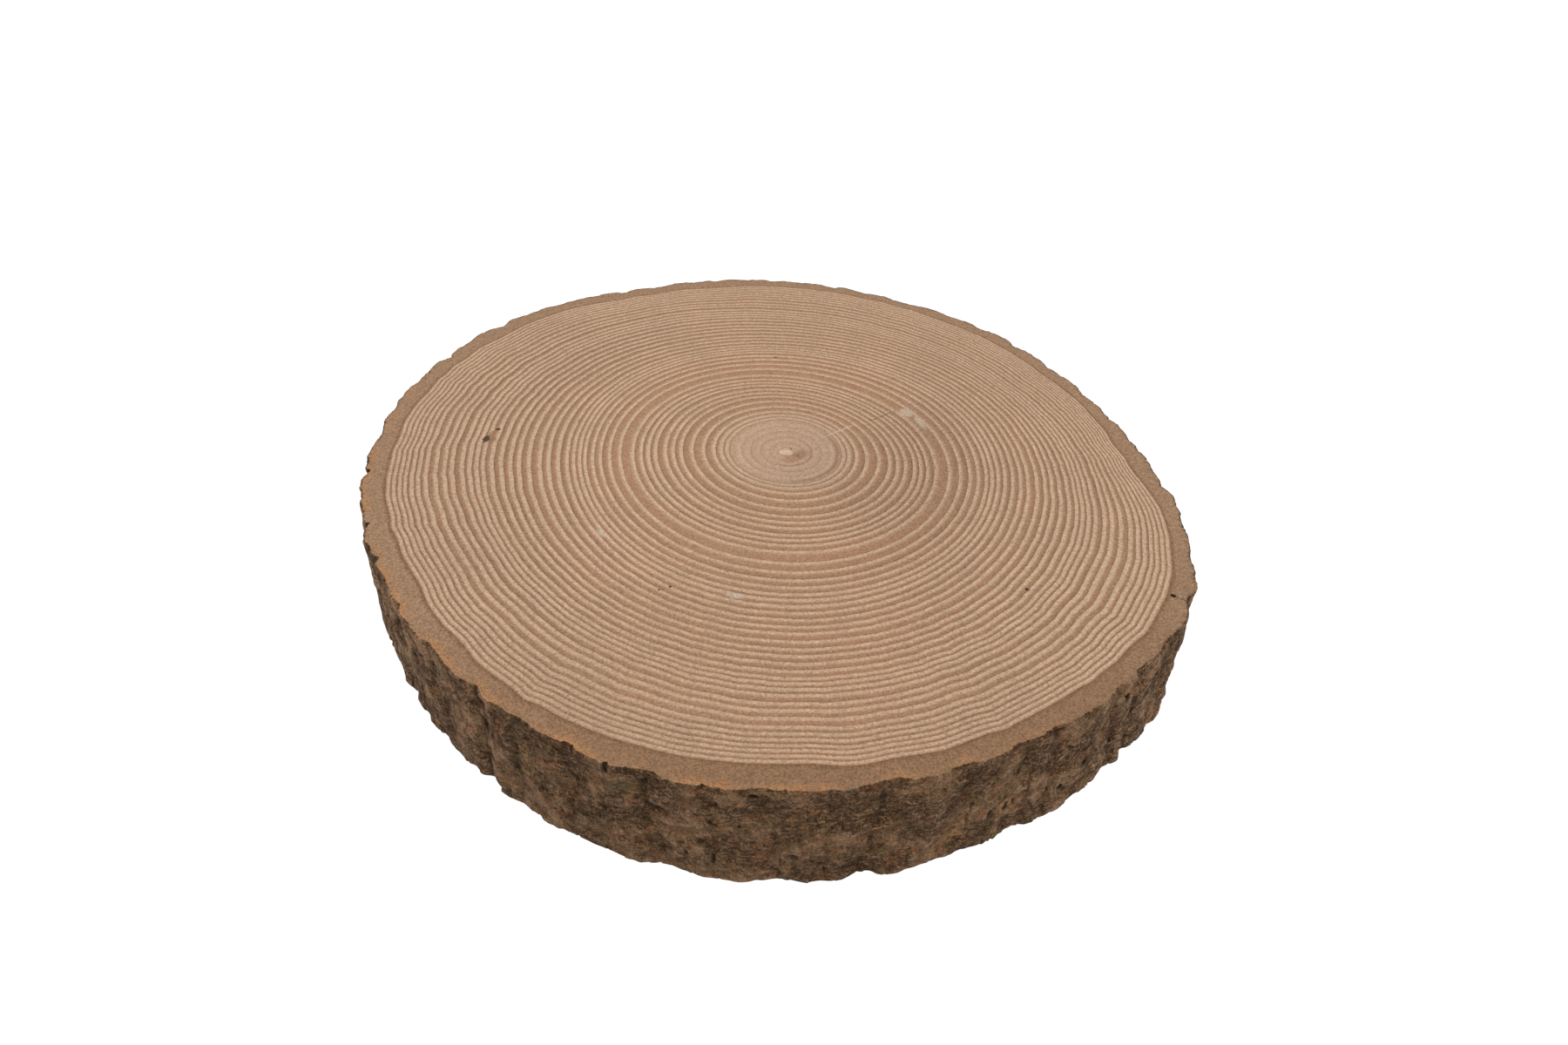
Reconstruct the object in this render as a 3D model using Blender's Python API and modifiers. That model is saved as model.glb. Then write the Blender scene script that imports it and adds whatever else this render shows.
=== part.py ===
"""A wood slice: one cross-section sawn from a round log, with its bark on, lying flat.

Wood and bark grew together, so the slice is one solid. The pith, the middle of the growth rings,
stands at PITH. The two sawn faces are level, +Z is up, and the origin is the middle of the underside.
"""
import math
import random

import bpy
from mathutils import Vector, noise

# Driving sizes, in metres
MM = 0.001
THICKNESS = 41.0 * MM
PITH = (7.3 * MM, 10.3 * MM)

# Crown line of the bark at the saw cut, without its furrows: degrees round the pith from +X,
# and millimetres from the pith
BARK_RIM = (
    (0, 138.6), (12, 134.3), (24, 131.7), (36, 132.3), (48, 133.6), (60, 134.8), (72, 137.2), (86, 141.7),
    (100, 145.2), (110, 147.0), (120, 149.0), (130, 153.2), (141, 157.4), (152, 158.6), (164, 158.6),
    (175, 157.8), (186, 157.0), (197, 156.0), (208, 155.0), (222, 156.0), (232, 157.6), (242, 160.2),
    (252, 162.9), (263, 164.7), (275, 163.9), (285, 162.7), (294, 161.0), (304, 159.7), (316, 158.4),
    (327, 157.3), (334, 154.6), (340, 151.0), (346, 147.0), (353, 143.1),
)

# Edge of the wood under the bark, in the same way
WOOD_EDGE = (
    (0, 129.5), (15, 126.3), (30, 124.3), (45, 125.7), (60, 128.0), (75, 131.2), (90, 135.3), (105, 138.0),
    (120, 141.0), (135, 147.0), (150, 149.7), (165, 150.2), (180, 148.7), (195, 147.2), (210, 145.5),
    (225, 147.5), (240, 152.0), (255, 154.0), (270, 154.8), (285, 154.5), (300, 152.0), (315, 150.0),
    (328, 149.0), (338, 144.0), (348, 138.5),
)

# Furrows of the bark at the upper saw cut: degrees round the pith, millimetres deep,
# and degrees from the furrow's bottom to its lip
FURROWS = (
    (7, 1.1, 2.4), (14.5, 1.0, 2.2), (22, 0.7, 2.4), (32, 1.0, 3.0), (42, 1.6, 2.2), (50.5, 1.3, 2.2),
    (58, 0.8, 2.2), (70, 1.1, 2.4), (76, 1.5, 1.8), (82.5, 1.6, 1.8), (94, 1.3, 2.0), (104.5, 1.7, 2.4),
    (116, 1.3, 3.0), (121.5, 2.0, 2.6), (133.5, 1.5, 2.0), (144.5, 2.8, 2.2), (156, 2.2, 2.0),
    (164.5, 1.2, 1.8), (171.5, 1.3, 1.8), (178.3, 1.9, 2.2), (188, 1.2, 2.0), (193, 0.9, 1.8),
    (199.5, 1.6, 2.2), (207, 2.2, 1.8), (216.5, 1.8, 3.0), (226, 0.9, 2.2), (235.3, 2.2, 1.8),
    (241.5, 1.0, 1.8), (248, 1.3, 2.4), (257.3, 2.0, 3.4), (269, 1.7, 4.0), (280.5, 2.0, 3.2),
    (289.5, 1.3, 2.6), (296.5, 1.2, 2.4), (301, 0.9, 2.0), (310.5, 1.9, 2.4), (315.5, 1.4, 2.2),
    (321, 1.0, 2.0), (330, 1.8, 2.4), (338.5, 2.0, 2.6), (346.5, 1.2, 2.0), (355, 1.1, 2.0),
)
FURROW_LEAN = 1.3          # degrees that a furrow may lean from the top face to the underside
FURROW_SWAY = 0.5          # degrees that it wanders to either side on the way down
FURROW_BEND = 5.0          # radians of that wander's wave from the top face to the underside
FURROW_CHANGE = 0.3        # share by which its depth may change on the way down
FURROW_SHARPNESS = 1.4     # 1 is a plain V, more has a narrower bottom

# Plates of bark between the furrows: height of the relief, and its length round the log and up it
PLATE_RELIEF = 0.8 * MM
PLATE_WIDTH = 10.0 * MM
PLATE_HEIGHT = 26.0 * MM
CRUST_RELIEF = 0.45 * MM
CRUST_WIDTH = 5.0 * MM
CRUST_HEIGHT = 9.0 * MM
CRUST_OFFSET = 7.0         # sets the crust's pattern apart from that of the plates

# The bark's section, shrunk a little below the sawn wood, and its broken corner
BARK_SHRINK = 0.3 * MM
BARK_STEP_WIDTH = 0.7 * MM
CORNER = 0.7 * MM

# The turned blank that the slice is shaped from
SEGMENTS = 360
WALL_ROWS = 6
BLANK_RADIUS = 150.0 * MM
WOOD_SHARE = 0.95          # share of the blank's radius that becomes wood
SEED = 41

# Colours of sawn wood and of weathered bark, with their roughness
WOOD_COLOUR = (0.434, 0.270, 0.171, 1.0)
BARK_COLOUR = (0.120, 0.080, 0.050, 1.0)
WOOD_ROUGHNESS = 0.75
BARK_ROUGHNESS = 0.95
SHARP_ANGLE = 40.0         # degrees, edges that turn more than this stay crisp


def clear_scene():
    for thing in list(bpy.data.objects):
        bpy.data.objects.remove(thing, do_unlink=True)


def outline(points, angle):
    """Distance from the pith, in metres, of a closed smooth curve through the points."""
    count = len(points)
    angle = angle % 360.0
    after = next((i for i, point in enumerate(points) if point[0] > angle), count)
    around = [points[(after + step) % count] for step in (-2, -1, 0, 1)]
    knots = [around[1][0] + (at - around[1][0] + 180.0) % 360.0 - 180.0 for at, reach in around]
    reach = [distance for at, distance in around]
    span = knots[2] - knots[1]
    share = ((angle - knots[1]) % 360.0) / span
    slope_in = (reach[2] - reach[0]) / (knots[2] - knots[0]) * span
    slope_out = (reach[3] - reach[1]) / (knots[3] - knots[1]) * span
    square, cube = share ** 2, share ** 3
    value = (
        (2 * cube - 3 * square + 1) * reach[1] + (cube - 2 * square + share) * slope_in
        + (3 * square - 2 * cube) * reach[2] + (cube - square) * slope_out
    )
    return value * MM


def furrow_paths():
    """Lean, phase of the wander and change in depth of each furrow, drawn once from a seed."""
    draw = random.Random(SEED)
    return [
        (
            draw.uniform(-FURROW_LEAN, FURROW_LEAN),
            draw.uniform(0.0, math.tau),
            draw.uniform(-FURROW_CHANGE, FURROW_CHANGE),
        )
        for furrow in FURROWS
    ]


PATHS = furrow_paths()


def furrow_depth(angle, height):
    """Depth of the deepest furrow at this place on the bark, in metres."""
    down = 1.0 - height / THICKNESS
    deepest = 0.0
    for (place, depth, half_width), (lean, phase, change) in zip(FURROWS, PATHS):
        wander = FURROW_SWAY * (math.sin(phase + FURROW_BEND * down) - math.sin(phase))
        off = abs((angle - place - lean * down - wander + 180.0) % 360.0 - 180.0) / half_width
        if off < 1.0:
            here = depth * (1.0 + change * down) * (1.0 - off) ** FURROW_SHARPNESS
            deepest = max(deepest, here)
    return deepest * MM


def bark_relief(angle, height, radius):
    """Plates and crust of the bark, in metres, inwards from the crown line."""
    turn = math.radians(angle)
    x, y = radius * math.cos(turn), radius * math.sin(turn)
    plates = noise.noise(Vector((x / PLATE_WIDTH, y / PLATE_WIDTH, height / PLATE_HEIGHT)))
    crust = noise.noise(Vector((x / CRUST_WIDTH, y / CRUST_WIDTH, height / CRUST_HEIGHT + CRUST_OFFSET)))
    return PLATE_RELIEF * plates + CRUST_RELIEF * crust


def bark_radius(angle, height):
    crown = outline(BARK_RIM, angle)
    return crown - furrow_depth(angle, height) - bark_relief(angle, height, crown)


def blank_profile():
    """Half section of the blank, from the middle of the top face down to the middle of the underside."""
    wood = BLANK_RADIUS * WOOD_SHARE
    step = wood + BARK_STEP_WIDTH
    rim = BLANK_RADIUS - CORNER
    top, low = THICKNESS - BARK_SHRINK, BARK_SHRINK
    section = [(0.0, THICKNESS), (wood, THICKNESS), (step, top), (rim, top)]
    for row in range(WALL_ROWS + 1):
        section.append((BLANK_RADIUS, top - CORNER - (top - low - 2 * CORNER) * row / WALL_ROWS))
    section += [(rim, low), (step, low), (wood, 0.0), (0.0, 0.0)]
    return section


def turned_blank(name):
    """The profile turned once round the Z axis with a Screw modifier, as a closed mesh."""
    section = blank_profile()
    mesh = bpy.data.meshes.new(name)
    edges = [(i, i + 1) for i in range(len(section) - 1)]
    mesh.from_pydata([(across, 0.0, up) for across, up in section], edges, [])
    blank = bpy.data.objects.new(name, mesh)
    bpy.context.scene.collection.objects.link(blank)
    screw = blank.modifiers.new("turn", "SCREW")
    screw.axis = "Z"
    screw.steps = SEGMENTS
    screw.render_steps = SEGMENTS
    screw.use_merge_vertices = True
    screw.merge_threshold = 0.1 * MM
    bpy.context.view_layer.update()
    turned = bpy.data.meshes.new_from_object(blank.evaluated_get(bpy.context.evaluated_depsgraph_get()))
    bpy.data.objects.remove(blank, do_unlink=True)
    turned.name = name
    return turned


def shape_slice(mesh):
    """Move each point of the blank from its circle to the real outline of wood and bark."""
    wood = BLANK_RADIUS * WOOD_SHARE
    for vertex in mesh.vertices:
        x, y, height = vertex.co
        across = math.hypot(x, y)
        angle = math.degrees(math.atan2(y, x)) % 360.0
        edge = outline(WOOD_EDGE, angle)
        if across <= wood:
            reach = edge * across / wood
        else:
            share = (across - wood) / (BLANK_RADIUS - wood)
            reach = edge + (bark_radius(angle, height) - edge) * share
        turn = math.radians(angle)
        vertex.co = (PITH[0] + reach * math.cos(turn), PITH[1] + reach * math.sin(turn), height)


def plain_material(name, colour, roughness):
    material = bpy.data.materials.new(name)
    material.use_nodes = True
    shader = material.node_tree.nodes["Principled BSDF"]
    shader.inputs["Base Color"].default_value = colour
    shader.inputs["Roughness"].default_value = roughness
    shader.inputs["Metallic"].default_value = 0.0
    material.diffuse_color = colour
    return material


def finish_faces(mesh):
    """Wood on the two sawn faces, bark on the rest, smooth but for the sawn corners."""
    mesh.materials.clear()
    mesh.materials.append(plain_material("sawn_wood", WOOD_COLOUR, WOOD_ROUGHNESS))
    mesh.materials.append(plain_material("bark", BARK_COLOUR, BARK_ROUGHNESS))
    middle = 0.5 * THICKNESS
    for face in mesh.polygons:
        below_sawn_wood = middle - abs(face.center.z - middle)
        face.material_index = 0 if below_sawn_wood < 0.25 * BARK_SHRINK else 1
    mesh.shade_smooth()
    mesh.set_sharp_from_angle(angle=math.radians(SHARP_ANGLE))


def make_slice():
    mesh = turned_blank("wood_slice")
    shape_slice(mesh)
    finish_faces(mesh)
    collection = bpy.data.collections.new("wood slice")
    bpy.context.scene.collection.children.link(collection)
    collection.objects.link(bpy.data.objects.new("wood_slice", mesh))


clear_scene()
make_slice()
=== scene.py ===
import math

import bpy
import numpy as np
from mathutils import Matrix, Vector, noise


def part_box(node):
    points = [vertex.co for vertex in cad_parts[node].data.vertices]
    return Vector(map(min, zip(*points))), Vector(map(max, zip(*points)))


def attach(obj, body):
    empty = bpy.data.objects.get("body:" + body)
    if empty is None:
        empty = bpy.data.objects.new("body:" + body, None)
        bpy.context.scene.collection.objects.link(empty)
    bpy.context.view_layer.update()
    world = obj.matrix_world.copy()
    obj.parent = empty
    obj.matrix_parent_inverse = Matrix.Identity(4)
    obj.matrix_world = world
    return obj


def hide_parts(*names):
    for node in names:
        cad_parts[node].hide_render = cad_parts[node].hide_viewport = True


# A slice sawn from a trunk, lying flat: pale sanded wood with its growth rings, and the bark round it.
# Sizes are in millimetres, in the frame's own axes, and MM turns them into metres where they reach Blender.
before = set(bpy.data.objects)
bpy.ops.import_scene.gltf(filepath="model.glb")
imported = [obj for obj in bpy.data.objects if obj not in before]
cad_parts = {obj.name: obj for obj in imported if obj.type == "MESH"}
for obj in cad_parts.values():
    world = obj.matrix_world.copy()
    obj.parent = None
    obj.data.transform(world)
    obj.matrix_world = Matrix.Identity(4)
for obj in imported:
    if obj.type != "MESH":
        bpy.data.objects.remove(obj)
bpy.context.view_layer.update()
MM = 0.001

# The camera stands in front of the slice and looks down on it with a 28 mm lens, as the photograph does,
# tilted a little to its left.
CAMERA_PLACE = (6.85, -371.73, 304.92)
CAMERA_LENS = 28.0
CAMERA_SENSOR = 36.0
LOOK_DOWN = 37.94          # degrees below level
CAMERA_TILT = 1.86         # degrees

camera_data = bpy.data.cameras.new("camera")
camera_data.lens = CAMERA_LENS
camera_data.sensor_width = CAMERA_SENSOR
camera_data.clip_start = 10.0 * MM
camera = bpy.data.objects.new("camera", camera_data)
camera.matrix_world = (
    Matrix.Translation(Vector(CAMERA_PLACE) * MM)
    @ Matrix.Rotation(math.radians(90.0 - LOOK_DOWN), 4, "X")
    @ Matrix.Rotation(math.radians(CAMERA_TILT), 4, "Z")
)
bpy.context.scene.collection.objects.link(camera)
bpy.context.scene.camera = camera

# The wood is one disc inside the bark, sawn level above and below and sanded. Its rings run through the
# whole thickness, so both faces show the same ones. Each ring starts with a pale band of wide open pores,
# goes on in denser tan wood and ends in a thin dark line.
PITH = (7.3, 10.3)         # middle of the rings
EDGE_AGE = 142.1           # mean radius of the wood's edge

# How the trunk grew, at a few mean radii: how far the ring's middle lies off the pith and to which side, then
# how oval and how three-cornered the ring is and in which direction, in millimetres and degrees
GROWTH = (
    (0, 0.0, 0, 0.0, 0, 0.0, 0), (24, 1.4, 120, 0.7, 135, 0.2, 70), (45, 1.7, 225, 1.9, 134, 0.2, 0),
    (54, 2.9, 229, 2.1, 135, 0.3, 5), (77, 3.2, 246, 2.4, 118, 0.8, 24), (84, 4.2, 254, 2.5, 114, 1.4, 26),
    (100, 5.8, 243, 2.9, 122, 1.5, 30),
)
GROWN_EVEN = 100.0         # mean radius up to which that holds

# Beyond it the rings grow lobes. Half way on to the wood's edge one reaches this far from the pith, every
# 30 degrees from +X
LOBED_AGE = 121.0
LOBED_RING = (114.6, 109.3, 109.8, 114.8, 122.5, 127.0, 125.9, 121.7, 125.8, 131.0, 128.4, 122.6)
CRINKLES = ((16.0, 1.6, 70.0), (7.0, 0.3, 85.0))   # length, height at the edge, and mean radius of the first
CRINKLE_DEPTH = 55.0       # how far a crinkle goes on from ring to ring
CRINKLE_MEAN = 0.18        # keeps the crinkles as much inside the ring as outside it

# Mean radius at which the first plain ring starts, those of the faint ones before it, and the widths of
# the plain ones but the last, which ends a little past the edge
FIRST_RING = 26.5
FAINT_RINGS = (3.4, 6.8, 10.0, 13.7, 17.0, 21.5, 23.6)
RING_WIDTHS = (
    3.9, 4.4, 4.1, 3.0, 2.9, 3.5, 2.5, 2.6, 3.3, 5.3, 4.2, 3.7, 3.2, 3.1, 2.2, 2.4, 2.6, 3.0, 3.1, 2.9, 3.5,
    3.2, 2.7, 2.9, 3.0, 2.8, 2.0, 2.2, 2.4, 3.2, 2.5, 2.9, 3.1, 2.4, 2.0, 2.1, 1.7, 1.8, 1.8,
)
PAST_EDGE = 0.2            # how far past it, and how near to the edge no more line of the mesh is laid
PALE_WIDTH = 1.3           # where a ring's pale start has half faded, and its share of a narrow ring
PALE_SHARE = 0.58
LATE_WIDTH = 0.6           # the dark end of a ring, in the same way
LATE_SHARE = 0.22
PALE_COUNT = 0.4           # parts of a ring's count at which the first has half faded and the second starts
LATE_COUNT = 0.8
PORE_SINK = 0.02           # the soft pale start of a ring is sanded a little lower
WOOD_TURNS = 520           # points round the disc
WALL_GAP = 0.05            # clearance of the wood's hidden wall inside the bark
UPPER_LANES = 0.6          # shares of the piece's map that the upper face and the hidden wall take
WALL_LANES = 0.03
MAP_EDGE = 0.002           # free border of a map and of its strips
MAP_SHARE = 1.0 - 2.0 * MAP_EDGE
SHARP_ANGLE = 40.0         # degrees, edges that turn more than this stay crisp

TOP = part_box("wood_slice")[1].z / MM


def around(samples, places):
    """Values of a closed ring of even samples, at places counted in them, on a smooth curve."""
    first = np.floor(places).astype(int)
    share = places - first
    count = samples.shape[-1]
    before, here, after, beyond = (samples[..., (first + step) % count] for step in (-1, 0, 1, 2))
    square, cube = share ** 2, share ** 3
    return (
        (2 * cube - 3 * square + 1) * here + (cube - 2 * square + share) * (after - before) / 2
        + (3 * square - 2 * cube) * after + (cube - square) * (beyond - here) / 2
    )


def smooth(low, high, value):
    """0 at low, 1 at high, and a smooth step between them."""
    share = np.clip((value - low) / (high - low), 0.0, 1.0)
    return share * share * (3.0 - 2.0 * share)


def frame_levels():
    """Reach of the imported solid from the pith, at each of its levels and each degree round the pith."""
    places = np.array([vertex.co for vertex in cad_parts["wood_slice"].data.vertices]) / MM
    off = places[:, :2] - PITH
    reach = np.hypot(off[:, 0], off[:, 1])
    degree = np.round(np.degrees(np.arctan2(off[:, 1], off[:, 0]))).astype(int) % 360
    height = np.round(places[:, 2], 1)
    levels = {}
    for level in np.unique(height):
        here = height == level
        ring = np.zeros(360)
        np.maximum.at(ring, degree[here], reach[here])
        levels[float(level)] = ring
    return levels


levels = frame_levels()
wood_edge = levels[max(levels)]


def ring_reach(ages, turns):
    """Distance from the pith of the ring of each age, in each direction."""
    stages = np.array(GROWTH, float)
    reach = np.repeat(ages[:, None], len(turns), 1)
    for waves in (1, 2, 3):
        amount, direction = stages[:, 2 * waves - 1], np.radians(stages[:, 2 * waves]) * waves
        for part in (np.cos, np.sin):
            here = np.interp(ages, stages[:, 0], amount * part(direction))
            reach = reach + np.outer(here, part(waves * turns))
    return reach


def cloud(east, north, up, seed=0.0):
    """Soft noise from -1 to 1, with lumps about one unit of the place wide. A seed gives another pattern."""
    return noise.noise(Vector((east + seed, north, up)))


def crinkle(age, turn):
    """How far a ring of this age bends in or out here, with kinks that go on from ring to ring."""
    bend = 0.0
    for length, height, first in CRINKLES:
        if age > first:
            waves = EDGE_AGE / length
            place = (waves * math.cos(turn), waves * math.sin(turn), age / CRINKLE_DEPTH)
            grown = height * (age - first) / (EDGE_AGE - first)
            bend += grown * (CRINKLE_MEAN - abs(cloud(*place, seed=length)))
    return bend


def wood_reach(ages, turns):
    """The same for the whole disc: the outer rings pass on through the lobed ring to the edge, crinkled."""
    degrees = np.degrees(turns)
    even = ring_reach(np.array([GROWN_EVEN]), turns)[0]
    lobed = around(np.array(LOBED_RING), degrees * len(LOBED_RING) / 360.0)
    edge = around(wood_edge, degrees)
    reach = ring_reach(ages, turns)
    for row, age in enumerate(ages):
        if age > LOBED_AGE:
            reach[row] = lobed + (edge - lobed) * (age - LOBED_AGE) / (EDGE_AGE - LOBED_AGE)
        elif age > GROWN_EVEN:
            reach[row] = even + (lobed - even) * (age - GROWN_EVEN) / (LOBED_AGE - GROWN_EVEN)
        reach[row] += [crinkle(age, turn) for turn in turns]
    return reach


def year_marks():
    """Ages at which something changes, the count of rings there, whole where a ring starts, and its width."""
    starts = list(FAINT_RINGS) + [FIRST_RING]
    for width in RING_WIDTHS:
        starts.append(starts[-1] + width)
    ages, counts, widths = [0.0], [0.0], [FAINT_RINGS[0]]
    for number, (start, after) in enumerate(zip(starts, starts[1:] + [EDGE_AGE + PAST_EDGE]), 1):
        width = after - start
        pale_half = start + min(PALE_WIDTH, PALE_SHARE * width)
        late_start = after - min(LATE_WIDTH, LATE_SHARE * width)
        ages += [start, pale_half, late_start]
        counts += [number, number + PALE_COUNT, number + LATE_COUNT]
        widths += 3 * [width]
    return np.array(ages), np.array(counts), np.array(widths)


def closed_ring(name, rows, lanes, strips, attributes):
    """A mesh of rows of points round the pith, each joined to the next one, and the last to the first.

    A row is the reach and height of its points, and one with no reach is a single point at the pith. A lane
    is where the faces behind a row start and end on the piece's own map, which lies in strips round the pith.
    """
    turns = len(rows[0][0])
    angle = np.arange(turns) * math.tau / turns
    points, firsts, single = [], [], []
    for reach, height in rows:
        firsts.append(len(points))
        single.append(np.max(reach) <= 0.0)
        east, north = PITH[0] + reach * np.cos(angle), PITH[1] + reach * np.sin(angle)
        points += list(zip(east, north, height))[:1 if single[-1] else turns]
    faces, corners = [], []
    length = turns // strips
    for row, (low, high) in enumerate(lanes):
        after = (row + 1) % len(rows)
        here, there = firsts[row], firsts[after]
        for turn in range(turns):
            step = (turn + 1) % turns
            strip = turn // length
            left, right = ((turn % length + side) / length * MAP_SHARE + MAP_EDGE for side in (0, 1))
            start, end = ((strip + MAP_EDGE + MAP_SHARE * lane) / strips for lane in (low, high))
            middle = 0.5 * (left + right)
            if single[row]:
                faces.append((here, there + turn, there + step))
                corners += [(middle, start), (left, end), (right, end)]
            elif single[after]:
                faces.append((here + turn, there, here + step))
                corners += [(left, start), (middle, end), (right, start)]
            else:
                faces.append((here + turn, there + turn, there + step, here + step))
                corners += [(left, start), (left, end), (right, end), (right, start)]
    mesh = bpy.data.meshes.new(name)
    mesh.from_pydata(np.array(points) * MM, [], faces)
    mesh.uv_layers.new(name="OFBake").data.foreach_set("uv", np.array(corners, np.float32).ravel())
    for label, values in attributes.items():
        spread = [np.broadcast_to(value, turns)[:1 if one else turns] for value, one in zip(values, single)]
        layer = mesh.attributes.new(label, "FLOAT", "POINT")
        layer.data.foreach_set("value", np.concatenate(spread).astype(np.float32))
    mesh.shade_smooth()
    mesh.set_sharp_from_angle(angle=math.radians(SHARP_ANGLE))
    piece = bpy.data.objects.new(name, mesh)
    bpy.context.scene.collection.objects.link(piece)
    return piece


def wood_disc():
    """Both sawn faces on lines along the rings, and the hidden wall between them."""
    turns = np.arange(WOOD_TURNS) * math.tau / WOOD_TURNS
    marks, counts, widths = year_marks()
    inside = marks < EDGE_AGE - PAST_EDGE
    starts = inside & (counts % 1.0 == 0.0)
    upper = np.append(marks[inside], EDGE_AGE)
    lower = np.append(EDGE_AGE, marks[starts][::-1])
    rows = []
    features = {"ring_count": [], "ring_age": [], "ring_width": []}
    for face, ages in ((TOP, upper), (0.0, lower)):
        reach = wood_reach(ages, turns)
        reach[ages == 0.0] = 0.0
        reach[ages == EDGE_AGE] -= WALL_GAP
        here = np.interp(ages, marks, counts)
        sunk = PORE_SINK * (here % 1.0 == 0.0)
        sunk[(ages == 0.0) | (ages == EDGE_AGE)] = 0.0
        for number in range(len(ages)):
            height = face - sunk[number] if face else sunk[number]
            rows.append((reach[number], np.full(WOOD_TURNS, height)))
        features["ring_count"] += list(here)
        features["ring_age"] += list(ages)
        features["ring_width"] += list(np.interp(ages, marks, widths))
    upper_lanes = UPPER_LANES * upper / EDGE_AGE
    lower_lanes = 1.0 - WALL_LANES - (1.0 - WALL_LANES - UPPER_LANES) * (lower / EDGE_AGE)
    lanes = list(zip(upper_lanes, upper_lanes[1:]))
    lanes.append((1.0 - WALL_LANES, 1.0))
    lanes += list(zip(lower_lanes, lower_lanes[1:]))
    return closed_ring("wood", rows, lanes, 1, features)


wood = wood_disc()


def shade(red, green, blue):
    """A shader's linear colour, from the colour as a screen shows it, in parts from 0 to 255."""
    linear = [
        part / 255.0 / 12.92 if part <= 10 else ((part / 255.0 + 0.055) / 1.055) ** 2.4
        for part in (red, green, blue)
    ]
    return (*linear, 1.0)


class Signal:
    """One output of a material's nodes. Sums of signals and numbers are made as Math nodes."""

    def __init__(self, tree, socket=None):
        self.tree = tree
        self.socket = socket

    def node(self, kind, settings=None, sockets=None, output=0):
        """Any other node: its settings are set first, then the values or links of its sockets."""
        made = self.tree.nodes.new(kind)
        for name, value in (settings or {}).items():
            setattr(made, name, value)
        for name, value in (sockets or {}).items():
            if isinstance(value, Signal):
                self.tree.links.new(value.socket, made.inputs[name])
            else:
                made.inputs[name].default_value = value
        return Signal(self.tree, made.outputs[output])

    def maths(self, operation, first, second=0.0):
        return self.node("ShaderNodeMath", {"operation": operation}, {0: first, 1: second})

    def __add__(self, other):
        return self.maths("ADD", self, other)

    __radd__ = __add__

    def __sub__(self, other):
        return self.maths("SUBTRACT", self, other)

    def __rsub__(self, other):
        return self.maths("SUBTRACT", other, self)

    def __mul__(self, other):
        return self.maths("MULTIPLY", self, other)

    __rmul__ = __mul__

    def __truediv__(self, other):
        return self.maths("DIVIDE", self, other)

    def size(self):
        return self.maths("ABSOLUTE", self)

    def part(self):
        return self.maths("FRACT", self)

    def whole(self):
        return self.maths("FLOOR", self)

    def rise(self, low, high):
        """0 below low, 1 above high and a smooth step between them, falling where high is the lower one."""
        start, end = (low, high) if low < high else (high, low)
        step = self.node(
            "ShaderNodeMapRange", {"interpolation_type": "SMOOTHSTEP"},
            {"Value": self, "From Min": start, "From Max": end},
        )
        return step if low < high else 1.0 - step

    def between(self, low, high):
        """The colour low where this is 0 and high where it is 1."""
        return self.node("ShaderNodeMix", {"data_type": "RGBA"}, {0: self, 6: low, 7: high}, 2)

    def scaled(self, factor):
        return self.node("ShaderNodeVectorMath", {"operation": "MULTIPLY"}, {0: self, 1: factor})

    def moved(self, offset):
        return self.node("ShaderNodeVectorMath", {"operation": "ADD"}, {0: self, 1: offset})

    def out(self, degrees):
        """How far this place lies out from the pith in one direction."""
        turn = math.radians(degrees)
        side = (math.cos(turn), math.sin(turn), 0.0)
        return self.node("ShaderNodeVectorMath", {"operation": "DOT_PRODUCT"}, {0: self, 1: side}, "Value")

    def cloud(self, size, detail=2.0, roughness=0.5):
        """Soft noise about 0 in this place, with lumps of the size given."""
        sockets = {"Vector": self, "Scale": 1.0 / size, "Detail": detail, "Roughness": roughness}
        return self.node("ShaderNodeTexNoise", {"noise_dimensions": "3D"}, sockets) - 0.5


def new_finish(name, roughness, gloss):
    """A bare material, the start of its signals, and its shader."""
    finish = bpy.data.materials.new(name)
    finish.use_nodes = True
    shader = finish.node_tree.nodes["Principled BSDF"]
    shader.inputs["Roughness"].default_value = roughness
    shader.inputs["Specular IOR Level"].default_value = gloss
    return finish, Signal(finish.node_tree), shader


def from_pith(start):
    """The place on the slice in millimetres from the pith, and its direction with length 1."""
    place = start.node("ShaderNodeTexCoord", output="Object").scaled((1.0 / MM, 1.0 / MM, 1.0 / MM))
    place = place.moved((-PITH[0], -PITH[1], 0.0))
    way = start.node("ShaderNodeVectorMath", {"operation": "NORMALIZE"}, {0: place.scaled((1.0, 1.0, 0.0))})
    return place, way


def carried(start, *labels):
    """The values that the mesh carries under these names."""
    return [start.node("ShaderNodeAttribute", {"attribute_name": label}, output="Fac") for label in labels]


def lay_finish(start, shader, colour, tone, relief, strength, depth):
    """Feed the shader a colour scaled by a tone, and a relief as bumps of this strength and depth."""
    colour = start.node("ShaderNodeVectorMath", {"operation": "SCALE"}, {0: colour, "Scale": tone})
    start.tree.links.new(colour.socket, shader.inputs["Base Color"])
    sockets = {"Strength": strength, "Distance": depth * MM, "Height": relief}
    bump = start.node("ShaderNodeBump", {}, sockets, "Normal")
    start.tree.links.new(bump.socket, shader.inputs["Normal"])


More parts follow.
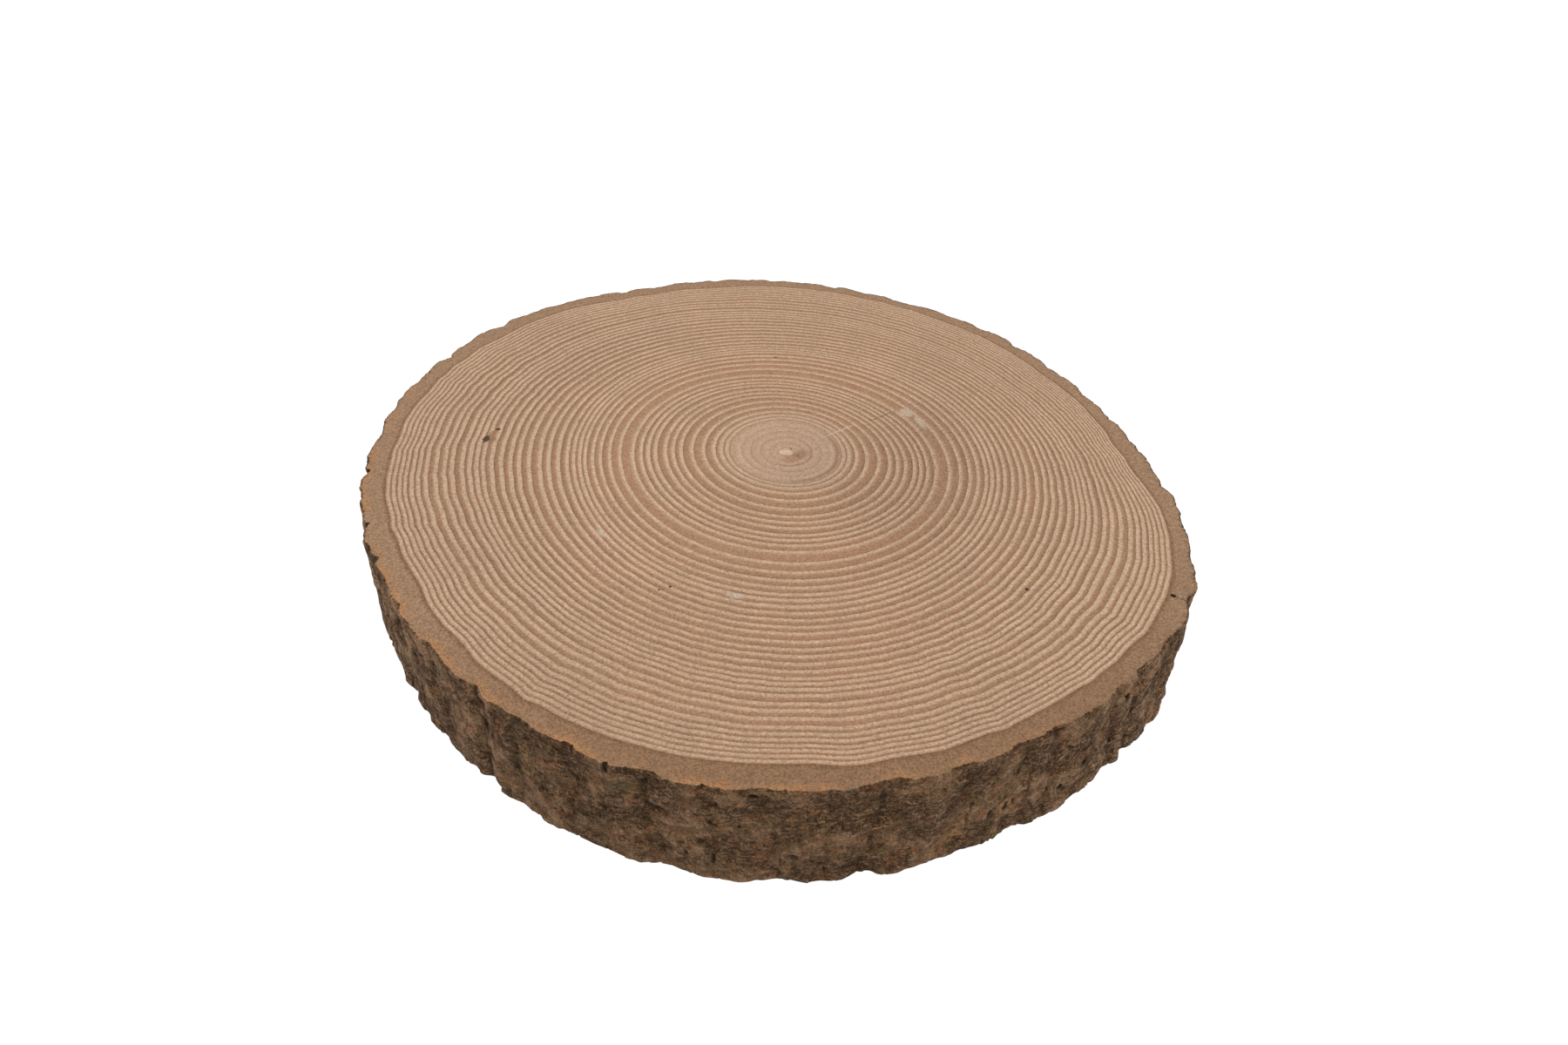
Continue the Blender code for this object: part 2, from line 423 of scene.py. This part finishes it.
WOOD_TONE = 0.87           # the wood's own lightness, against the colours as the light of the tent shows them
PALE_WOOD = shade(203, 171, 141)
TAN_WOOD = shade(172, 135, 103)
RED_WOOD = shade(175, 130, 99)
LATE_WOOD = shade(145, 109, 80)
HEART_WOOD = shade(188, 156, 128)
PITH_WOOD = shade(214, 184, 152)
RUST = shade(158, 114, 84)
STAIN = shade(78, 50, 33)
CRACK = shade(104, 78, 58)
SMEAR = shade(208, 186, 162)
WOOD_ROUGHNESS = 0.75
WOOD_GLOSS = 0.3
WOOD_BUMP = (0.25, 0.06)   # strength and depth of its grain

# Marks by direction from the pith in degrees, distance from it, and half sizes out from it and across
PITH_SPOT = (175, 0.6, 2.6, 1.9)
PITH_SPECKS = ((60, 2.9, 0.9, 1.3), (330, 4.3, 2.2, 1.5), (178, 3.7, 0.5, 1.6))
HEART_SHADE = ((290, 4.4, 2.4, 3.6), (350, 5.5, 2.5, 3.0))
STAINS = ((178.8, 115.0, 1.4, 2.2), (175.3, 112.3, 0.9, 0.9))
RUSTS = (
    (178.9, 112.4, 1.2, 1.9), (177.0, 114.0, 0.9, 2.0), (242, 66, 1.1, 1.1), (262, 118, 0.8, 0.7),
    (255, 73, 1.0, 0.9),
)
PINHOLES = ((95, 71, 0.6, 0.6), (317, 110.5, 0.8, 0.7), (245, 88, 0.5, 0.5), (243.5, 91, 0.5, 0.4))
SMEARS = (
    (33, 56, 2.6, 3.0), (24, 57, 1.1, 4.5), (38.5, 25, 9.0, 0.4), (259.4, 84.6, 1.2, 3.0),
    (219.7, 82.6, 1.0, 2.4),
)
# Hairline cracks: direction, from and to which distance, half width and how dark
CRACKS = ((36.5, 38.0, 54.0, 0.16, 0.9), (36.9, 52.0, 61.0, 0.12, 0.35), (217.0, 38.0, 73.0, 0.12, 0.3))
# Faint dark arcs of the heart: mean radius, how far it sways, half width where it is gone and where it is
# full, its direction, and how far out that way it starts and is full
HEART_ARCS = ((9.3, 1.2, 0.4, 0.1, 315, 1.0, 5.0), (19.6, 1.5, 1.3, 0.2, 340, 2.0, 16.0))

# Noises of the wood, by size of the lumps, detail and roughness
GRIT = (0.75, 2.0, 0.75)
FUZZ = (0.8, 3.0, 0.65)
SWAY = (11.0, 2.0)
BROAD = (42.0, 2.0)
DASHES = (2.2, 1.0)
RAYS = 230.0               # streaks to a radian round the pith, and longer stretches of stronger rings
STRETCHES = 7.0

# Where in a ring's count from 0 to 1 the pale start is gone and starts to fade, how far it blurs to either
# side, where the wood starts to darken, is half dark and is dark, and where the dark line ends in the ring
# after it
PALE_FADE = (0.56, 0.24)
PALE_BLUR = 0.08
LATE_START = 0.42
LATE_HALF = 0.78
LATE_FULL = 0.9
LATE_REST = 0.07

# Mean radii between which the heart's faint rings pass into plain ones, in ground, pale start and dark end,
# and those between which its own shading ends
HEART_GROUND = (18.5, 31.0)
HEART_PALE = (14.0, 28.0)
HEART_LATE = (14.0, 27.0)
HEART_EDGE = (32.0, 20.0)


def sanded_wood():
    finish, start, shader = new_finish("sanded wood", WOOD_ROUGHNESS, WOOD_GLOSS)
    place, way = from_pith(start)
    height = start.node("ShaderNodeSeparateXYZ", sockets={0: place}, output=2)
    upper = height.rise(0.3 * TOP, 0.7 * TOP)
    age, count, width = carried(start, "ring_age", "ring_count", "ring_width")
    fuzz = place.cloud(*FUZZ)
    sway = place.cloud(*SWAY)
    broad = place.cloud(*BROAD)
    grit = place.cloud(*GRIT)
    streak = way.scaled((RAYS, RAYS, 0.0)).moved(place.scaled((0.02, 0.02, 1.0))).cloud(1.0)
    stretch = way.scaled((STRETCHES, STRETCHES, 0.0)).moved((0.0, 0.0, 3.0)).cloud(1.0)

    def spot(mark, soft=0.45):
        """1 inside an uneven round mark and 0 outside it."""
        degrees, reach, out, wide = mark
        toward, beside = (place.out(degrees) - reach) / out, place.out(degrees + 90.0) / wide
        return (toward * toward + beside * beside + 2.4 * fuzz).rise(1.0 + soft, 1.0 - soft)

    def crack(degrees, low, high, half_width, dark):
        """1 on a hairline that runs out from the pith, broken into dashes."""
        toward, beside = place.out(degrees), place.out(degrees + 90.0)
        line = (beside + 0.5 * sway + 0.35 * fuzz).size().rise(1.7 * half_width, 0.4 * half_width)
        dashes = place.moved((degrees, 0.0, 0.0)).cloud(*DASHES).rise(-0.14, -0.02)
        return line * dashes * toward.rise(low, low + 2.0) * toward.rise(high, high - 4.0) * dark

    # The rings show best to the left and right of the pith, and the outer ones least on the near side
    sideways = place.out(0.0) / (age + 1.0)
    nearest = (place.out(270.0) / (age + 1.0)).rise(0.7, 1.0)
    grown = age.rise(50.0, 110.0)
    strength = 0.79 + 0.19 * sideways * sideways + grown * (0.12 - 0.15 * nearest) + 0.6 * stretch

    count = count + fuzz * 0.08 + sway * 0.1
    part = count.part()
    year = start.node("ShaderNodeTexWhiteNoise", {"noise_dimensions": "1D"}, {"W": count.whole()}, "Value")
    pale = part.rise(1.0 - PALE_BLUR, 1.0 + PALE_BLUR)
    pale = pale + part.rise(-PALE_BLUR, PALE_BLUR) * part.rise(*PALE_FADE)
    pale = pale * strength * (0.15 + 0.85 * age.rise(*HEART_PALE))
    late = 0.45 * part.rise(LATE_START, LATE_HALF) + 0.55 * part.rise(LATE_HALF, LATE_FULL)
    late = late + part.rise(LATE_REST, 0.0)
    late = late * strength * (0.6 + 0.5 * year + 0.8 * sway) * (0.4 + 0.6 * age.rise(*HEART_LATE))
    late = late * (0.4 + 0.6 * width.rise(5.0, 3.8))
    ground = (0.8 * broad + stretch + 1.6 * fuzz).rise(-0.3, 0.3).between(TAN_WOOD, RED_WOOD)
    ground = age.rise(*HEART_GROUND).between(HEART_WOOD, ground)
    colour = late.between(ground, LATE_WOOD)
    colour = pale.between(colour, PALE_WOOD)

    for mark in SMEARS:
        colour = (spot(mark, 0.9) * upper * 0.75).between(colour, SMEAR)
    arcs = sum(
        (age + bend * sway - radius).size().rise(gone, full) * place.out(degrees).rise(low, high)
        for radius, bend, gone, full, degrees, low, high in HEART_ARCS
    )
    colour = (arcs * 0.65).between(colour, LATE_WOOD)
    for mark in HEART_SHADE:
        colour = (spot(mark, 0.9) * (0.6 + 1.8 * fuzz)).between(colour, RUST)
    colour = spot(PITH_SPOT, 0.25).between(colour, PITH_WOOD)
    for mark in PITH_SPECKS:
        colour = (spot(mark, 0.7) * fuzz.rise(0.0, 0.07) * 0.7).between(colour, STAIN)
    for mark in RUSTS:
        colour = (spot(mark, 0.7) * upper * 0.7).between(colour, RUST)
    for mark in STAINS + PINHOLES:
        colour = (spot(mark, 0.4) * upper * 0.95).between(colour, STAIN)
    split = sum(crack(*mark) for mark in CRACKS)
    colour = split.between(colour, CRACK)

    # Grain and slow changes of tone: a belt round the heart, darker to its right, and a darker left and near
    # edge
    heart = age.rise(*HEART_EDGE)
    right = place.out(345.0) / (age + 10.0)
    belt = age.rise(20.0, 32.0) * age.rise(105.0, 50.0)
    dusk = age.rise(60.0, 120.0) * (place.out(180.0) / (age + 10.0)).rise(0.2, 0.9)
    dusk = dusk + 0.5 * nearest * age.rise(118.0, 138.0)
    shading = (1.6 - 0.3 * heart) * grit + 0.35 * fuzz + 0.12 * streak + 0.1 * sway + 0.16 * broad
    shading = shading + 0.02 * belt - 0.12 * belt * right.rise(0.35, 0.85)
    shading = shading - 0.02 * right - 0.06 * right * heart - 0.07 * dusk
    relief = fuzz + grit + 0.4 * streak - 6.0 * split
    lay_finish(start, shader, colour, WOOD_TONE * (1.0 + shading), relief, *WOOD_BUMP)
    return finish


wood.data.materials.append(sanded_wood())
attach(wood, "root")
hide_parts("wood_slice")

# The bark grew as one ring round the wood. Its sawn section is matte and fibrous with an orange outer edge,
# and its weathered outside is a crust of furrows, plates and flakes.
BARK_TURNS = 1280          # points round the ring
WALL_ROWS = 56             # points down its outside
SECTION_SHARES = (0.0, 0.09, 0.2, 0.34, 0.48, 0.62, 0.76, 0.88, 0.95)
BARK_STEP = 0.3            # how far the section shrank below the sanded wood, and how far at its inner edge
SHRINK_START = 0.1
EDGE_ROUND = 0.45          # broken edge between the section and the outside
SECTION_LANE = 8.0         # widths of a section and of the hidden inner wall on the bark's map
HIDDEN_LANE = 1.5
BARK_STRIPS = 4            # strips of that map, each a quarter of the way round

# The crust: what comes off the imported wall, with widths and heights of the lumps that lay it out
RAGGED = (1.4, 2.0)        # bites in the edges of flakes and cracks
CRUST = ((4.2, 0.38), (2.1, 0.23))   # lump size and height of the fine crust
CRUST_STRETCH = 1.3        # its lumps are this much taller than wide
FLAKE = (8.0, 8.0)         # flakes of bark that came off, their edge in that noise, and their depth
FLAKE_EDGE = (0.05, 0.13)
FLAKE_DEPTH = 0.4
SPLIT = (6.0, 15.0)        # upright splits between the plates, their half width in that noise and depth,
SPLIT_WIDTH = 0.07         # and the patches of bark that have them
SPLIT_DEPTH = 0.7
SPLIT_PATCH = (11.0, 13.0)
CHECK = (7.0, 2.4)         # short level cracks across the plates, in the same way
CHECK_WIDTH = 0.08
CHECK_DEPTH = 0.4
CHECK_PATCH = (9.0, 7.0)
FURROW_WANDER = 1.0        # degrees by which the lips of the furrows wander
WANDER_LUMPS = 24.0        # lumps of that wander to a radian round the pith, and their height
WANDER_HEIGHT = 4.0
SOFTENINGS = 12            # rounds of the blur that tells hollows from plates

# One pit, at 267.6 degrees below a flake, is painted shadow: a dark hole where that flake's shadow falls
# Pits, cracks and scars by direction from the pith, height, half width, half height and depth
SCARS = (
    (252.7, 39.2, 0.9, 1.8, 1.0), (253.3, 27.2, 1.6, 1.6, 0.4), (263.9, 9.7, 0.4, 2.8, 0.8),
    (262.3, 16.7, 2.6, 1.4, 0.6), (267.6, 38.0, 1.7, 0.9, 1.2), (264.0, 33.0, 2.0, 0.4, 0.5),
    (280.6, 34.0, 1.3, 8.0, 0.5), (312.6, 34.5, 1.2, 1.5, 1.2), (307.0, 16.2, 1.1, 2.2, 1.6),
    (303.4, 11.1, 1.1, 1.2, 1.3), (295.6, 13.6, 1.2, 1.3, 1.3), (293.4, 15.2, 1.0, 1.1, 1.2),
    (301.2, 38.5, 2.0, 2.0, 0.6), (272.0, 11.3, 1.5, 1.2, 0.6), (272.4, 20.0, 0.5, 3.0, 0.5),
    (234.9, 26.3, 0.9, 4.5, 0.8), (315.5, 22.2, 0.9, 1.3, 0.9), (249.0, 26.5, 0.7, 3.0, 0.6),
    (187.5, 38.0, 1.3, 4.0, 1.2), (199.6, 39.0, 1.3, 3.0, 1.2), (92.0, 22.0, 0.8, 1.5, 1.0),
    (35.0, 14.0, 1.0, 1.2, 1.0), (61.0, 29.0, 0.7, 2.4, 0.9), (148.0, 18.0, 0.8, 1.6, 1.0),
    (12.0, 26.0, 0.9, 1.4, 1.0), (120.0, 31.0, 1.2, 0.9, 0.9), (347.0, 12.0, 0.8, 1.3, 1.0),
)
SCAR_RAGGED = 1.6          # size of the bites in their edges, and how strong those are
SCAR_BITES = 1.6
SCAR_LIP = 1.6             # how far out a scar ends, as the square of a share of its half size


def bark_skin(east, north, up):
    """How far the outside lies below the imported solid's wall at a place, and how deep its cracks are."""

    def lumps(size, seed):
        width, height = size
        return cloud(east / width, north / width, up / height, seed)

    ragged = lumps(RAGGED, 8.0)
    skin = 0.0
    for size, height in CRUST:
        skin += height * lumps((size, CRUST_STRETCH * size), size)
    skin += FLAKE_DEPTH * smooth(*FLAKE_EDGE, lumps(FLAKE, 3.0) + 0.25 * ragged)
    split = abs(lumps(SPLIT, 21.0) + 0.14 * ragged)
    loose = smooth(0.0, 0.3, lumps(SPLIT_PATCH, 31.0) + 0.3 * ragged)
    crack = SPLIT_DEPTH * loose * max(0.0, 1.0 - split / SPLIT_WIDTH)
    check = abs(lumps(CHECK, 41.0) + 0.2 * ragged)
    broken = smooth(0.1, 0.35, lumps(CHECK_PATCH, 51.0) + 0.3 * ragged)
    crack = max(crack, CHECK_DEPTH * broken * max(0.0, 1.0 - check / CHECK_WIDTH))
    return skin, crack


def scars(degrees, height, reach):
    """Depth of the ragged pits, cracks and scars along one level of the outside."""
    turns = np.radians(degrees)
    places = zip(reach * np.cos(turns) / SCAR_RAGGED, reach * np.sin(turns) / SCAR_RAGGED)
    ragged = np.array([cloud(east, north, height / SCAR_RAGGED, 61.0) for east, north in places])
    deepest = np.zeros(len(degrees))
    for direction, middle, half_width, half_height, depth in SCARS:
        off = np.radians((degrees - direction + 180.0) % 360.0 - 180.0) * reach
        far = (off / half_width) ** 2 + ((height - middle) / half_height) ** 2 + SCAR_BITES * ragged
        deepest = np.maximum(deepest, depth * smooth(SCAR_LIP, 0.0, far))
    return deepest


def softened(grid):
    """A grid of reaches, level by level, blurred by a few millimetres."""
    for times in range(SOFTENINGS):
        grid = (np.roll(grid, 1, 1) + grid + np.roll(grid, -1, 1)) / 3.0
        upper, lower = np.vstack([grid[:1], grid[:-1]]), np.vstack([grid[1:], grid[-1:]])
        grid = (upper + grid + lower) / 3.0
    return grid


def bark_wall(heights, turns):
    """Reach of the outside at each height, depth of its cracks, and how far each place lies in a hollow."""
    degrees = np.degrees(turns)
    known = sorted(level for level in levels if 2.0 * BARK_STEP < level < TOP - 2.0 * BARK_STEP)
    packed = np.array([levels[level] for level in known])
    last = len(known) - 1.001          # just short of the highest level, so that one lies above each place
    ways = list(zip(np.cos(turns), np.sin(turns)))
    reach, cracks = np.empty((2, len(heights), len(turns)))
    for row, height in enumerate(heights):
        place = np.clip(np.interp(height, known, range(len(known))), 0.0, last)
        low = int(place)
        up = height / WANDER_HEIGHT
        wander = [cloud(WANDER_LUMPS * east, WANDER_LUMPS * north, up, 71.0) for east, north in ways]
        lower, upper = around(packed[low:low + 2], degrees + FURROW_WANDER * np.array(wander))
        crown = lower + (place - low) * (upper - lower)
        skins = [bark_skin(out * east, out * north, height) for out, (east, north) in zip(crown, ways)]
        skin, crack = np.array(skins).T
        cracks[row] = np.maximum(crack, scars(degrees, height, crown))
        reach[row] = crown - skin - cracks[row]
    return reach, cracks, softened(reach) - reach


def bark_ring():
    """The sawn section, the outside, the section below and the hidden inner wall, all the way round."""
    turns = np.arange(BARK_TURNS) * math.tau / BARK_TURNS
    inner = wood_reach(np.array([EDGE_AGE]), turns)[0]
    heights = np.linspace(TOP - BARK_STEP - EDGE_ROUND, BARK_STEP + EDGE_ROUND, WALL_ROWS)
    wall, cracks, hollows = bark_wall(heights, turns)
    rows, lanes_at = [], []
    features = {"below": [], "inset": [], "outset": [], "crack": [], "hollow": []}

    def lay(reach, height, lane, inset=0.0, crack=0.0, hollow=0.0):
        rows.append((reach, np.broadcast_to(height, BARK_TURNS)))
        lanes_at.append(lane)
        for label, values in zip(features, (TOP - height, inset, reach - inner, crack, hollow)):
            features[label].append(values)

    def section(face, inward, edge, lanes):
        """The sawn face of the bark, whose inner edge shrank least."""
        for share, lane in zip(SECTION_SHARES, lanes):
            reach = inner + (edge - inner) * share
            step = (BARK_STEP - SHRINK_START) * (1.0 - smooth(0.0, SECTION_SHARES[1], share))
            lay(reach, face + inward * step, lane, inset=edge - reach)

    upper_lanes = [SECTION_LANE * share for share in SECTION_SHARES]
    section(TOP - BARK_STEP, 1.0, wall[0] - EDGE_ROUND, upper_lanes)
    lay(wall[0] - EDGE_ROUND, TOP - BARK_STEP, SECTION_LANE, crack=cracks[0], hollow=hollows[0])
    for row, height in enumerate(heights):
        lane = SECTION_LANE + EDGE_ROUND + heights[0] - height
        lay(wall[row], height, lane, crack=cracks[row], hollow=hollows[row])
    lower_start = SECTION_LANE + 2.0 * EDGE_ROUND + heights[0] - heights[-1]
    lay(wall[-1] - EDGE_ROUND, BARK_STEP, lower_start, crack=cracks[-1], hollow=hollows[-1])
    first_below = len(rows)
    lower_lanes = [lower_start + SECTION_LANE * (1.0 - share) for share in SECTION_SHARES]
    section(BARK_STEP, -1.0, wall[-1] - EDGE_ROUND, lower_lanes)
    for filled in [rows, lanes_at] + list(features.values()):
        filled[first_below:] = filled[first_below:][::-1]
    ends = np.array(lanes_at + [lower_start + SECTION_LANE + HIDDEN_LANE])
    ends = ends / ends[-1]
    return closed_ring("bark", rows, list(zip(ends, ends[1:])), BARK_STRIPS, features)


bark = bark_ring()

BARK_TONE = 0.92           # the bark's own lightness, against the colours as the light of the tent shows them
SECTION_BARK = shade(160, 128, 101)
SECTION_DARK = shade(143, 111, 84)
RIM_BARK = shade(178, 128, 87)
OUTER_RIM = shade(128, 107, 87)
CAMBIUM = shade(136, 104, 78)
BROWN_BARK = shade(99, 75, 54)
DARK_BARK = shade(71, 52, 37)
GREY_BARK = shade(129, 103, 81)
OCHRE_BARK = shade(134, 102, 68)
RUST_BARK = shade(122, 74, 46)
MOSS_BARK = shade(82, 71, 47)
CRACK_AND_SHADE_BARK = shade(42, 30, 20)
BARK_ROUGHNESS = 0.9
BARK_GLOSS = 0.08
BARK_BUMP = (0.6, 0.5)     # strength and depth of its grain
BARK_REACH = 150.0         # distance from the pith at which a place faces its own way in full
# Painted light: the outside is painted darkest facing WALL_SIDE, lighter on its flanks, lightest facing
# LIT_SIDE
NEAR_SIDE = 278.0          # direction in which the section is darkest
WALL_SIDE = 268.0          # and in which the outside is
RIM_SIDE = 232.0           # and in which its rim is most orange
LIT_SIDE = 330.0           # and in which the outside is lightest
RAGGED_EDGE = (2.4, 0.9)   # depth below a sawn face at which its edge is no longer ragged, and fully so
SPLIT_PLACE = 329.6        # a crack in the section: its direction, start, and how far it stands open
SPLIT_FROM = 148.7
SPLIT_OPEN = 1.7
# Ochre patches on the outside: direction, height, half width and half height
OCHRE_PATCHES = (
    (295.5, 14.5, 4.5, 3.2), (289.0, 9.0, 3.5, 2.6), (268.8, 39.2, 4.5, 1.4), (242.0, 30.0, 2.5, 5.0),
)

# Noises of the bark, besides the grit: size of the lumps, detail, roughness, how much flatter than wide the
# lumps are, and the shift that sets one noise apart from the next
FINE = (1.6, 3.0, 0.75, 1.0, (9.0, 0.0, 0.0))
MOTTLE = (3.2, 6.0, 0.75, 0.75, (0.0, 17.0, 0.0))
PLATES = (15.0, 2.0, 0.5, 1.0, (0.0, 0.0, 33.0))
LAYER = (4.5, 4.0, 0.7, 5.0, (0.0, 60.0, 0.0))
CHECKS = (5.0, 4.0, 0.65, 3.2, (40.0, 0.0, 0.0))
VEINS = (3.6, 4.0, 0.7, 0.8, (0.0, 0.0, 77.0))
GLOW = (14.0, 2.0, 0.5, 1.0, (0.0, 91.0, 0.0))
# Tints in patches: colour, its noise, the least of that noise that shows, and strength
TINTS = (
    (MOSS_BARK, (9.0, 5.0, 0.68, 1.3, (71.0, 0.0, 71.0)), 0.02, 0.7),
    (RUST_BARK, (6.0, 5.0, 0.68, 1.3, (50.0, 0.0, 50.0)), 0.04, 0.6),
    (OCHRE_BARK, (6.5, 5.0, 0.68, 1.3, (30.0, 0.0, 30.0)), 0.05, 0.65),
)
CRUSTS = 0.42              # crusts of one tone to a millimetre, how much flatter than wide, and how they warp
CRUSTS_FLAT = 1.9
WARP_REACH = 5.0
WARP_SIZE = 2.5
FIBRES = 55.0              # fibres of the section to a radian round the pith


def weathered_bark():
    finish, start, shader = new_finish("weathered bark", BARK_ROUGHNESS, BARK_GLOSS)
    place, way = from_pith(start)
    below, inset, outset, crack, hollow = carried(start, "below", "inset", "outset", "crack", "hollow")

    def pattern(size, detail, roughness, flat, shift):
        return place.scaled((1.0, 1.0, flat)).moved(shift).cloud(size, detail, roughness)

    def facing(direction):
        """About 1 where the bark faces this way, and 0 at right angles to it."""
        return place.out(direction) / BARK_REACH

    grain = place.cloud(*GRIT)
    fine = pattern(*FINE)
    mottle = pattern(*MOTTLE)
    broad = pattern(*PLATES)
    layer = pattern(*LAYER)

    # The section ends in a ragged edge. The rest is the outside, whose flanks are away from the near side
    end, full = RAGGED_EDGE
    ragged = below.rise(end, full) + below.rise(TOP - end, TOP - full)
    on_section = (inset + fine * 0.9 * ragged).rise(0.05, 0.4)
    off_section = 1.0 - on_section
    # Painted light: the flanks of the outside are painted lighter, with more contrast, than its near face
    painted_light_flank = facing(WALL_SIDE).rise(0.98, 0.72) * off_section

    # The outside: crusts from dark to grey, tints, and dark cracks with painted shade in them
    warp = start.node(
        "ShaderNodeTexNoise", {"noise_dimensions": "3D"},
        {"Vector": place, "Scale": 1.0 / WARP_SIZE, "Detail": 3.0}, "Color",
    )
    crusted = place.scaled((1.0, 1.0, CRUSTS_FLAT)).moved(warp.scaled((WARP_REACH, WARP_REACH, WARP_REACH)))
    crust = start.node("ShaderNodeTexVoronoi", {}, {"Vector": crusted, "Scale": CRUSTS}, "Color")
    crust = start.node("ShaderNodeSeparateColor", {}, {0: crust}) - 0.5
    level = (0.55 * mottle + 0.45 * broad) * (0.62 + 0.5 * painted_light_flank) + 0.35 * grain + 0.2 * crust
    # Painted shade and light: hollows between plates painted darker, ridges lighter, most on the flanks
    level = level - (0.45 + 0.25 * painted_light_flank) * hollow + 0.05 * painted_light_flank
    colour = level.rise(-0.34, 0.02).between(DARK_BARK, BROWN_BARK)
    colour = (level.rise(0.0, 0.26) * 0.8).between(colour, GREY_BARK)
    for tint, noises, least, strength in TINTS:
        patch = pattern(*noises) + 0.7 * layer
        colour = (patch.rise(least, least + 0.14) * strength).between(colour, tint)
    for direction, middle, half_width, half_height in OCHRE_PATCHES:
        across = place.out(direction + 90.0) / half_width
        along = (TOP - below - middle) / half_height
        patch = (across * across + along * along + 5.0 * fine).rise(1.5, 0.4)
        colour = (patch * place.out(direction).rise(0.0, 1.0) * 0.65).between(colour, OCHRE_BARK)
    check = pattern(*CHECKS).size().rise(0.055, 0.015)
    check = check * (broad + 0.5 * mottle).rise(0.1, -0.06) * off_section
    vein = pattern(*VEINS).size().rise(0.032, 0.006)
    vein = vein * (mottle + broad).rise(0.14, -0.06) * off_section
    # Cracks, pits, hollows, veins and checks: near black, partly the bark's own dark, partly painted shade
    colour = ((crack + 0.6 * hollow + 1.2 * fine).rise(0.2, 1.1) * 0.85).between(colour, CRACK_AND_SHADE_BARK)
    colour = (vein * (0.75 + 0.2 * painted_light_flank)).between(colour, CRACK_AND_SHADE_BARK)
    colour = (check * 0.65).between(colour, CRACK_AND_SHADE_BARK)

    # The section: darker on the near side and next to the wood, with one crack and an orange outer rim
    dusk = (facing(NEAR_SIDE) + 0.4 * broad).rise(0.4, 1.05)
    section = dusk.between(SECTION_BARK, SECTION_DARK)
    section = ((outset + 1.2 * fine).rise(1.6, 0.2) * 0.9).between(section, CAMBIUM)
    beside = (place.out(SPLIT_PLACE + 90.0) + 0.6 * fine).size()
    along = place.out(SPLIT_PLACE)
    split = beside.rise(0.4, 0.1) * along.rise(SPLIT_FROM, SPLIT_FROM + 1.0) * 0.6
    open_end = SPLIT_FROM + SPLIT_OPEN
    opened = along.rise(SPLIT_FROM, SPLIT_FROM + 0.4) * along.rise(open_end + 0.4, open_end)
    # Painted shade: where the crack stands open it is painted dark
    section = (split + beside.rise(1.0, 0.5) * opened).between(section, CRACK_AND_SHADE_BARK)
    fibres = way.scaled((FIBRES, FIBRES, 0.0)).cloud(1.0, 3.0, 0.7)
    edge = inset + 7.0 * fine + 5.0 * fibres
    section = (edge.rise(1.6, 0.0) * 0.5).between(section, OUTER_RIM)
    glow = pattern(*GLOW).rise(-0.16, 0.1)
    orange = (facing(RIM_SIDE) + 0.3 * broad).rise(0.1, 0.85) * (0.05 + 0.75 * glow)
    section = (edge.rise(4.0, 0.0) * orange).between(section, RIM_BARK)
    colour = on_section.between(colour, section)

    speckle = off_section * (1.9 * grain + 1.2 * fine) * (1.0 + 0.35 * painted_light_flank)
    speckle = speckle + on_section * (1.8 * grain + 0.5 * fine)
    # The outside is a little lighter than the section; painted light adds to its flanks, most on its right
    right = facing(LIT_SIDE).rise(0.3, 0.9) * off_section
    tone_and_painted_light = 1.0 + 0.13 * off_section + 0.15 * painted_light_flank + 0.15 * right
    tone = BARK_TONE * tone_and_painted_light * start.maths("MAXIMUM", 1.0 + speckle, 0.25)
    relief = (grain + 1.5 * fine + layer + 0.4 * crust) * (0.3 + 0.7 * off_section) - 0.5 * vein - 0.8 * check
    lay_finish(start, shader, colour, tone, relief, *BARK_BUMP)
    return finish


bark.data.materials.append(weathered_bark())
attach(bark, "root")
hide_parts("wood_slice")

# The slice lies on a plain white table top, wide enough to fill the view. The top is matte and glows a
# little, so that it stays as evenly white as the ground of the photograph.
FLOOR_HALF = 4000.0
FLOOR_WHITE = 0.2          # what it gives back of the light, and its own glow
FLOOR_GLOW = 0.95

floor_mesh = bpy.data.meshes.new("floor")
floor_corners = [
    (east * FLOOR_HALF * MM, north * FLOOR_HALF * MM, 0.0)
    for east, north in ((-1, -1), (1, -1), (1, 1), (-1, 1))
]
floor_mesh.from_pydata(floor_corners, [], [(0, 1, 2, 3)])
floor = bpy.data.objects.new("floor", floor_mesh)
bpy.context.scene.collection.objects.link(floor)
floor_finish, _, floor_shader = new_finish("white table top", 1.0, 0.0)
floor_shader.inputs["Base Color"].default_value = (FLOOR_WHITE, FLOOR_WHITE, FLOOR_WHITE, 1.0)
floor_shader.inputs["Emission Color"].default_value = (1.0, 1.0, 1.0, 1.0)
floor_shader.inputs["Emission Strength"].default_value = FLOOR_GLOW
floor_mesh.materials.append(floor_finish)

# The light is that of a white tent: even from all round, with a broad soft lamp overhead.
SKY_LIGHT = 0.6
LAMP_PLACE = (-200.0, -100.0, 1600.0)
LAMP_SIZE = 1800.0
LAMP_POWER = 16.0          # watts

world = bpy.data.worlds.new("white tent")
world.use_nodes = True
world.node_tree.nodes["Background"].inputs["Color"].default_value = (1.0, 1.0, 1.0, 1.0)
world.node_tree.nodes["Background"].inputs["Strength"].default_value = SKY_LIGHT
bpy.context.scene.world = world
bpy.context.scene.view_settings.view_transform = "Standard"
lamp_data = bpy.data.lights.new("lamp", "AREA")
lamp_data.shape = "DISK"
lamp_data.size = LAMP_SIZE * MM
lamp_data.energy = LAMP_POWER
lamp = bpy.data.objects.new("lamp", lamp_data)
lamp.location = Vector(LAMP_PLACE) * MM
lamp.rotation_euler = (-lamp.location).to_track_quat("-Z", "Y").to_euler()
bpy.context.scene.collection.objects.link(lamp)
